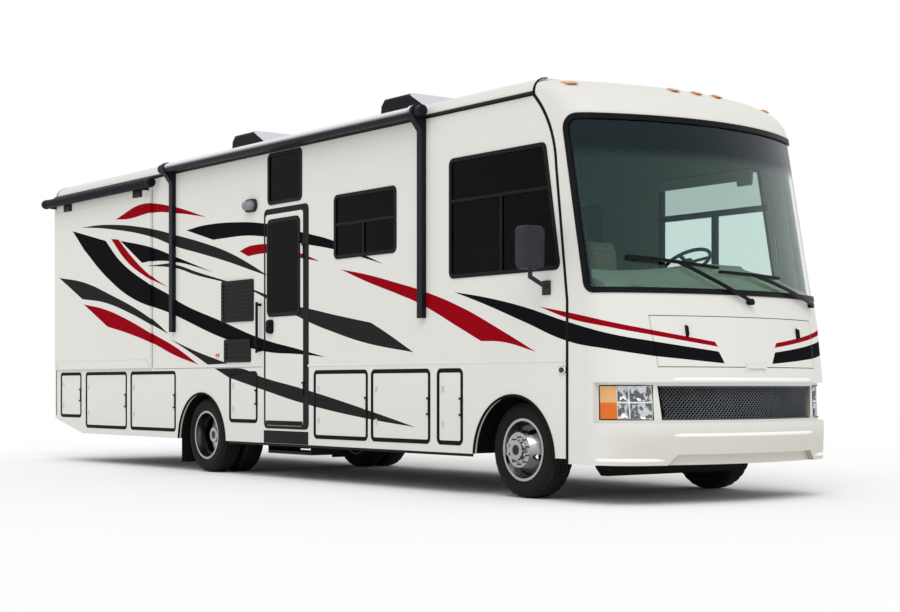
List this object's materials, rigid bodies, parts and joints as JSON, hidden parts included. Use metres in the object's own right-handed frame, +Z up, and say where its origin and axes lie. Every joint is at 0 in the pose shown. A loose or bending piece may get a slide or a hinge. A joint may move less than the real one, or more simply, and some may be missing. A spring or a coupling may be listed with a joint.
{
  "type": "class a motorhome",
  "caption": "Flat-fronted motorhome on a truck chassis with steered front wheels, twin rear wheels, entry door, slide-out room and hinged baggage doors.",
  "frame": {"origin": "centre of the overall length and width, on the ground under the tyres", "axes": "+X towards the nose, +Y towards the driver's (left) side, +Z up"},
  "size_m": [10.7088, 3.235, 3.83],
  "materials": {
    "body_white": "gloss",
    "trim_black": "satin",
    "glass_dark": "gloss",
    "glass_clear": "gloss",
    "chrome": "polished",
    "lamp_clear": "gloss",
    "lamp_amber": "gloss",
    "lamp_red": "gloss",
    "tyre": "matte",
    "steel_black": "satin",
    "cast": "rough",
    "seat_cloth": "matte",
    "dash_plastic": "satin",
    "floor_board": "satin",
    "alu": "satin",
    "rubber": "matte"
  },
  "bodies": {
    "coach": {"front_cap": "body_white", "windshield": "glass_clear", "grille": "trim_black", "headlamps": "lamp_clear", "wipers": "trim_black", "wall_right": "body_white", "wall_left": "body_white", "window_frames": "trim_black", "side_glass": "glass_dark", "skirt_right": "body_white", "skirt_left": "body_white", "hatch_seals": "rubber", "roof": "body_white", "rear_wall": "body_white", "floor": "floor_board", "cab_seats": "seat_cloth", "dashboard": "dash_plastic", "chassis_frame": "steel_black", "hitch_receiver": "steel_black", "front_axle": "steel_black", "rear_axle": "steel_black", "wheel_liners": "rubber", "engine": "cast", "fuel_tank": "steel_black", "baggage_bays": "steel_black", "entry_step": "steel_black", "wall_fittings": "trim_black", "marker_lamps": "lamp_amber", "tail_lamps": "lamp_red", "hinge_halves": "trim_black", "awning": "trim_black", "roof_air": "trim_black", "mirrors": "trim_black", "ladder": "alu"},
    "wheel_front_right": {"wheel_front_right": "chrome", "tyre_front_right": "tyre"},
    "wheel_front_left": {"wheel_front_left": "chrome", "tyre_front_left": "tyre"},
    "wheels_rear_right": {"wheels_rear_right": "chrome", "tyres_rear_right": "tyre"},
    "wheels_rear_left": {"wheels_rear_left": "chrome", "tyres_rear_left": "tyre"},
    "knuckle_right": {"knuckle_right": "cast"},
    "knuckle_left": {"knuckle_left": "cast"},
    "steering_wheel": {"steering_wheel": "trim_black"},
    "entry_door": {"entry_door": "body_white", "entry_door_glass": "glass_dark"},
    "hood": {"hood": "body_white"},
    "slideout": {"slideout": "body_white", "slide_topper": "trim_black"},
    "hatch_right_1": {"hatch_right_1": "body_white"},
    "hatch_right_2": {"hatch_right_2": "body_white"},
    "hatch_right_3": {"hatch_right_3": "body_white"},
    "hatch_right_4": {"hatch_right_4": "body_white"},
    "hatch_right_5": {"hatch_right_5": "body_white"},
    "hatch_right_6": {"hatch_right_6": "body_white"},
    "hatch_right_7": {"hatch_right_7": "body_white"},
    "hatch_left_1": {"hatch_left_1": "body_white"},
    "hatch_left_2": {"hatch_left_2": "body_white"},
    "hatch_left_3": {"hatch_left_3": "body_white"}
  },
  "joints": [
    {"name": "steer_right", "type": "hinge", "parent": "coach", "child": "knuckle_right", "pos_m": [3.8375, -0.89, 0.4], "axis": [0, 0, 1], "range_deg": [-40, 40]},
    {"name": "wheel_front_right_spin", "type": "hinge", "parent": "knuckle_right", "child": "wheel_front_right", "pos_m": [3.8375, -1.06, 0.4], "axis": [0, 1, 0], "continuous": true},
    {"name": "wheels_rear_right_spin", "type": "hinge", "parent": "coach", "child": "wheels_rear_right", "pos_m": [-1.4455, -0.97, 0.4], "axis": [0, 1, 0], "continuous": true},
    {"name": "steer_left", "type": "hinge", "parent": "coach", "child": "knuckle_left", "pos_m": [3.8375, 0.89, 0.4], "axis": [0, 0, 1], "range_deg": [-40, 40]},
    {"name": "wheel_front_left_spin", "type": "hinge", "parent": "knuckle_left", "child": "wheel_front_left", "pos_m": [3.8375, 1.06, 0.4], "axis": [0, 1, 0], "continuous": true},
    {"name": "wheels_rear_left_spin", "type": "hinge", "parent": "coach", "child": "wheels_rear_left", "pos_m": [-1.4455, 0.97, 0.4], "axis": [0, 1, 0], "continuous": true},
    {"name": "steering_wheel_turn", "type": "hinge", "parent": "coach", "child": "steering_wheel", "pos_m": [4.0145, 0.56, 2.01], "axis": [-0.5, 0, 0.866], "range_deg": [-640, 640]},
    {"name": "entry_door_hinge", "type": "hinge", "parent": "coach", "child": "entry_door", "pos_m": [0.6085, -1.292, 1.5], "axis": [0, 0, 1], "range_deg": [0, 165]},
    {"name": "hood_hinge", "type": "hinge", "parent": "coach", "child": "hood", "pos_m": [5.3315, 0, 1.072], "axis": [0, 1, 0], "range_deg": [0, 80]},
    {"name": "slideout_travel", "type": "slide", "parent": "coach", "child": "slideout", "axis": [0, -1, 0], "range_m": [0, 0.56]},
    {"name": "hatch_right_1_hinge", "type": "hinge", "parent": "coach", "child": "hatch_right_1", "pos_m": [-4.5135, -1.292, 0.819], "axis": [0, 0, 1], "range_deg": [0, 95]},
    {"name": "hatch_right_2_hinge", "type": "hinge", "parent": "coach", "child": "hatch_right_2", "pos_m": [-3.2715, -1.292, 0.759], "axis": [0, 0, 1], "range_deg": [0, 95]},
    {"name": "hatch_right_3_hinge", "type": "hinge", "parent": "coach", "child": "hatch_right_3", "pos_m": [-2.0635, -1.292, 0.759], "axis": [0, 0, 1], "range_deg": [0, 95]},
    {"name": "hatch_right_4_hinge", "type": "hinge", "parent": "coach", "child": "hatch_right_4", "pos_m": [-0.2945, -1.292, 0.814], "axis": [0, 0, 1], "range_deg": [0, 95]},
    {"name": "hatch_right_5_hinge", "type": "hinge", "parent": "coach", "child": "hatch_right_5", "pos_m": [1.6955, -1.292, 0.749], "axis": [0, 0, 1], "range_deg": [0, 95]},
    {"name": "hatch_right_6_hinge", "type": "hinge", "parent": "coach", "child": "hatch_right_6", "pos_m": [2.6645, -1.292, 0.749], "axis": [0, 0, 1], "range_deg": [0, 95]},
    {"name": "hatch_right_7_hinge", "type": "hinge", "parent": "coach", "child": "hatch_right_7", "pos_m": [3.1325, -1.292, 0.749], "axis": [0, 0, 1], "range_deg": [0, 95]},
    {"name": "hatch_left_1_hinge", "type": "hinge", "parent": "coach", "child": "hatch_left_1", "pos_m": [-3.2715, 1.292, 0.759], "axis": [0, 0, -1], "range_deg": [0, 95]},
    {"name": "hatch_left_2_hinge", "type": "hinge", "parent": "coach", "child": "hatch_left_2", "pos_m": [1.6955, 1.292, 0.749], "axis": [0, 0, -1], "range_deg": [0, 95]},
    {"name": "hatch_left_3_hinge", "type": "hinge", "parent": "coach", "child": "hatch_left_3", "pos_m": [2.6645, 1.292, 0.749], "axis": [0, 0, -1], "range_deg": [0, 95]}
  ],
  "couplings": [
    {"joint": "steer_left", "follows": "steer_right", "ratio": 1},
    {"joint": "steering_wheel_turn", "follows": "steer_right", "ratio": 16}
  ]
}
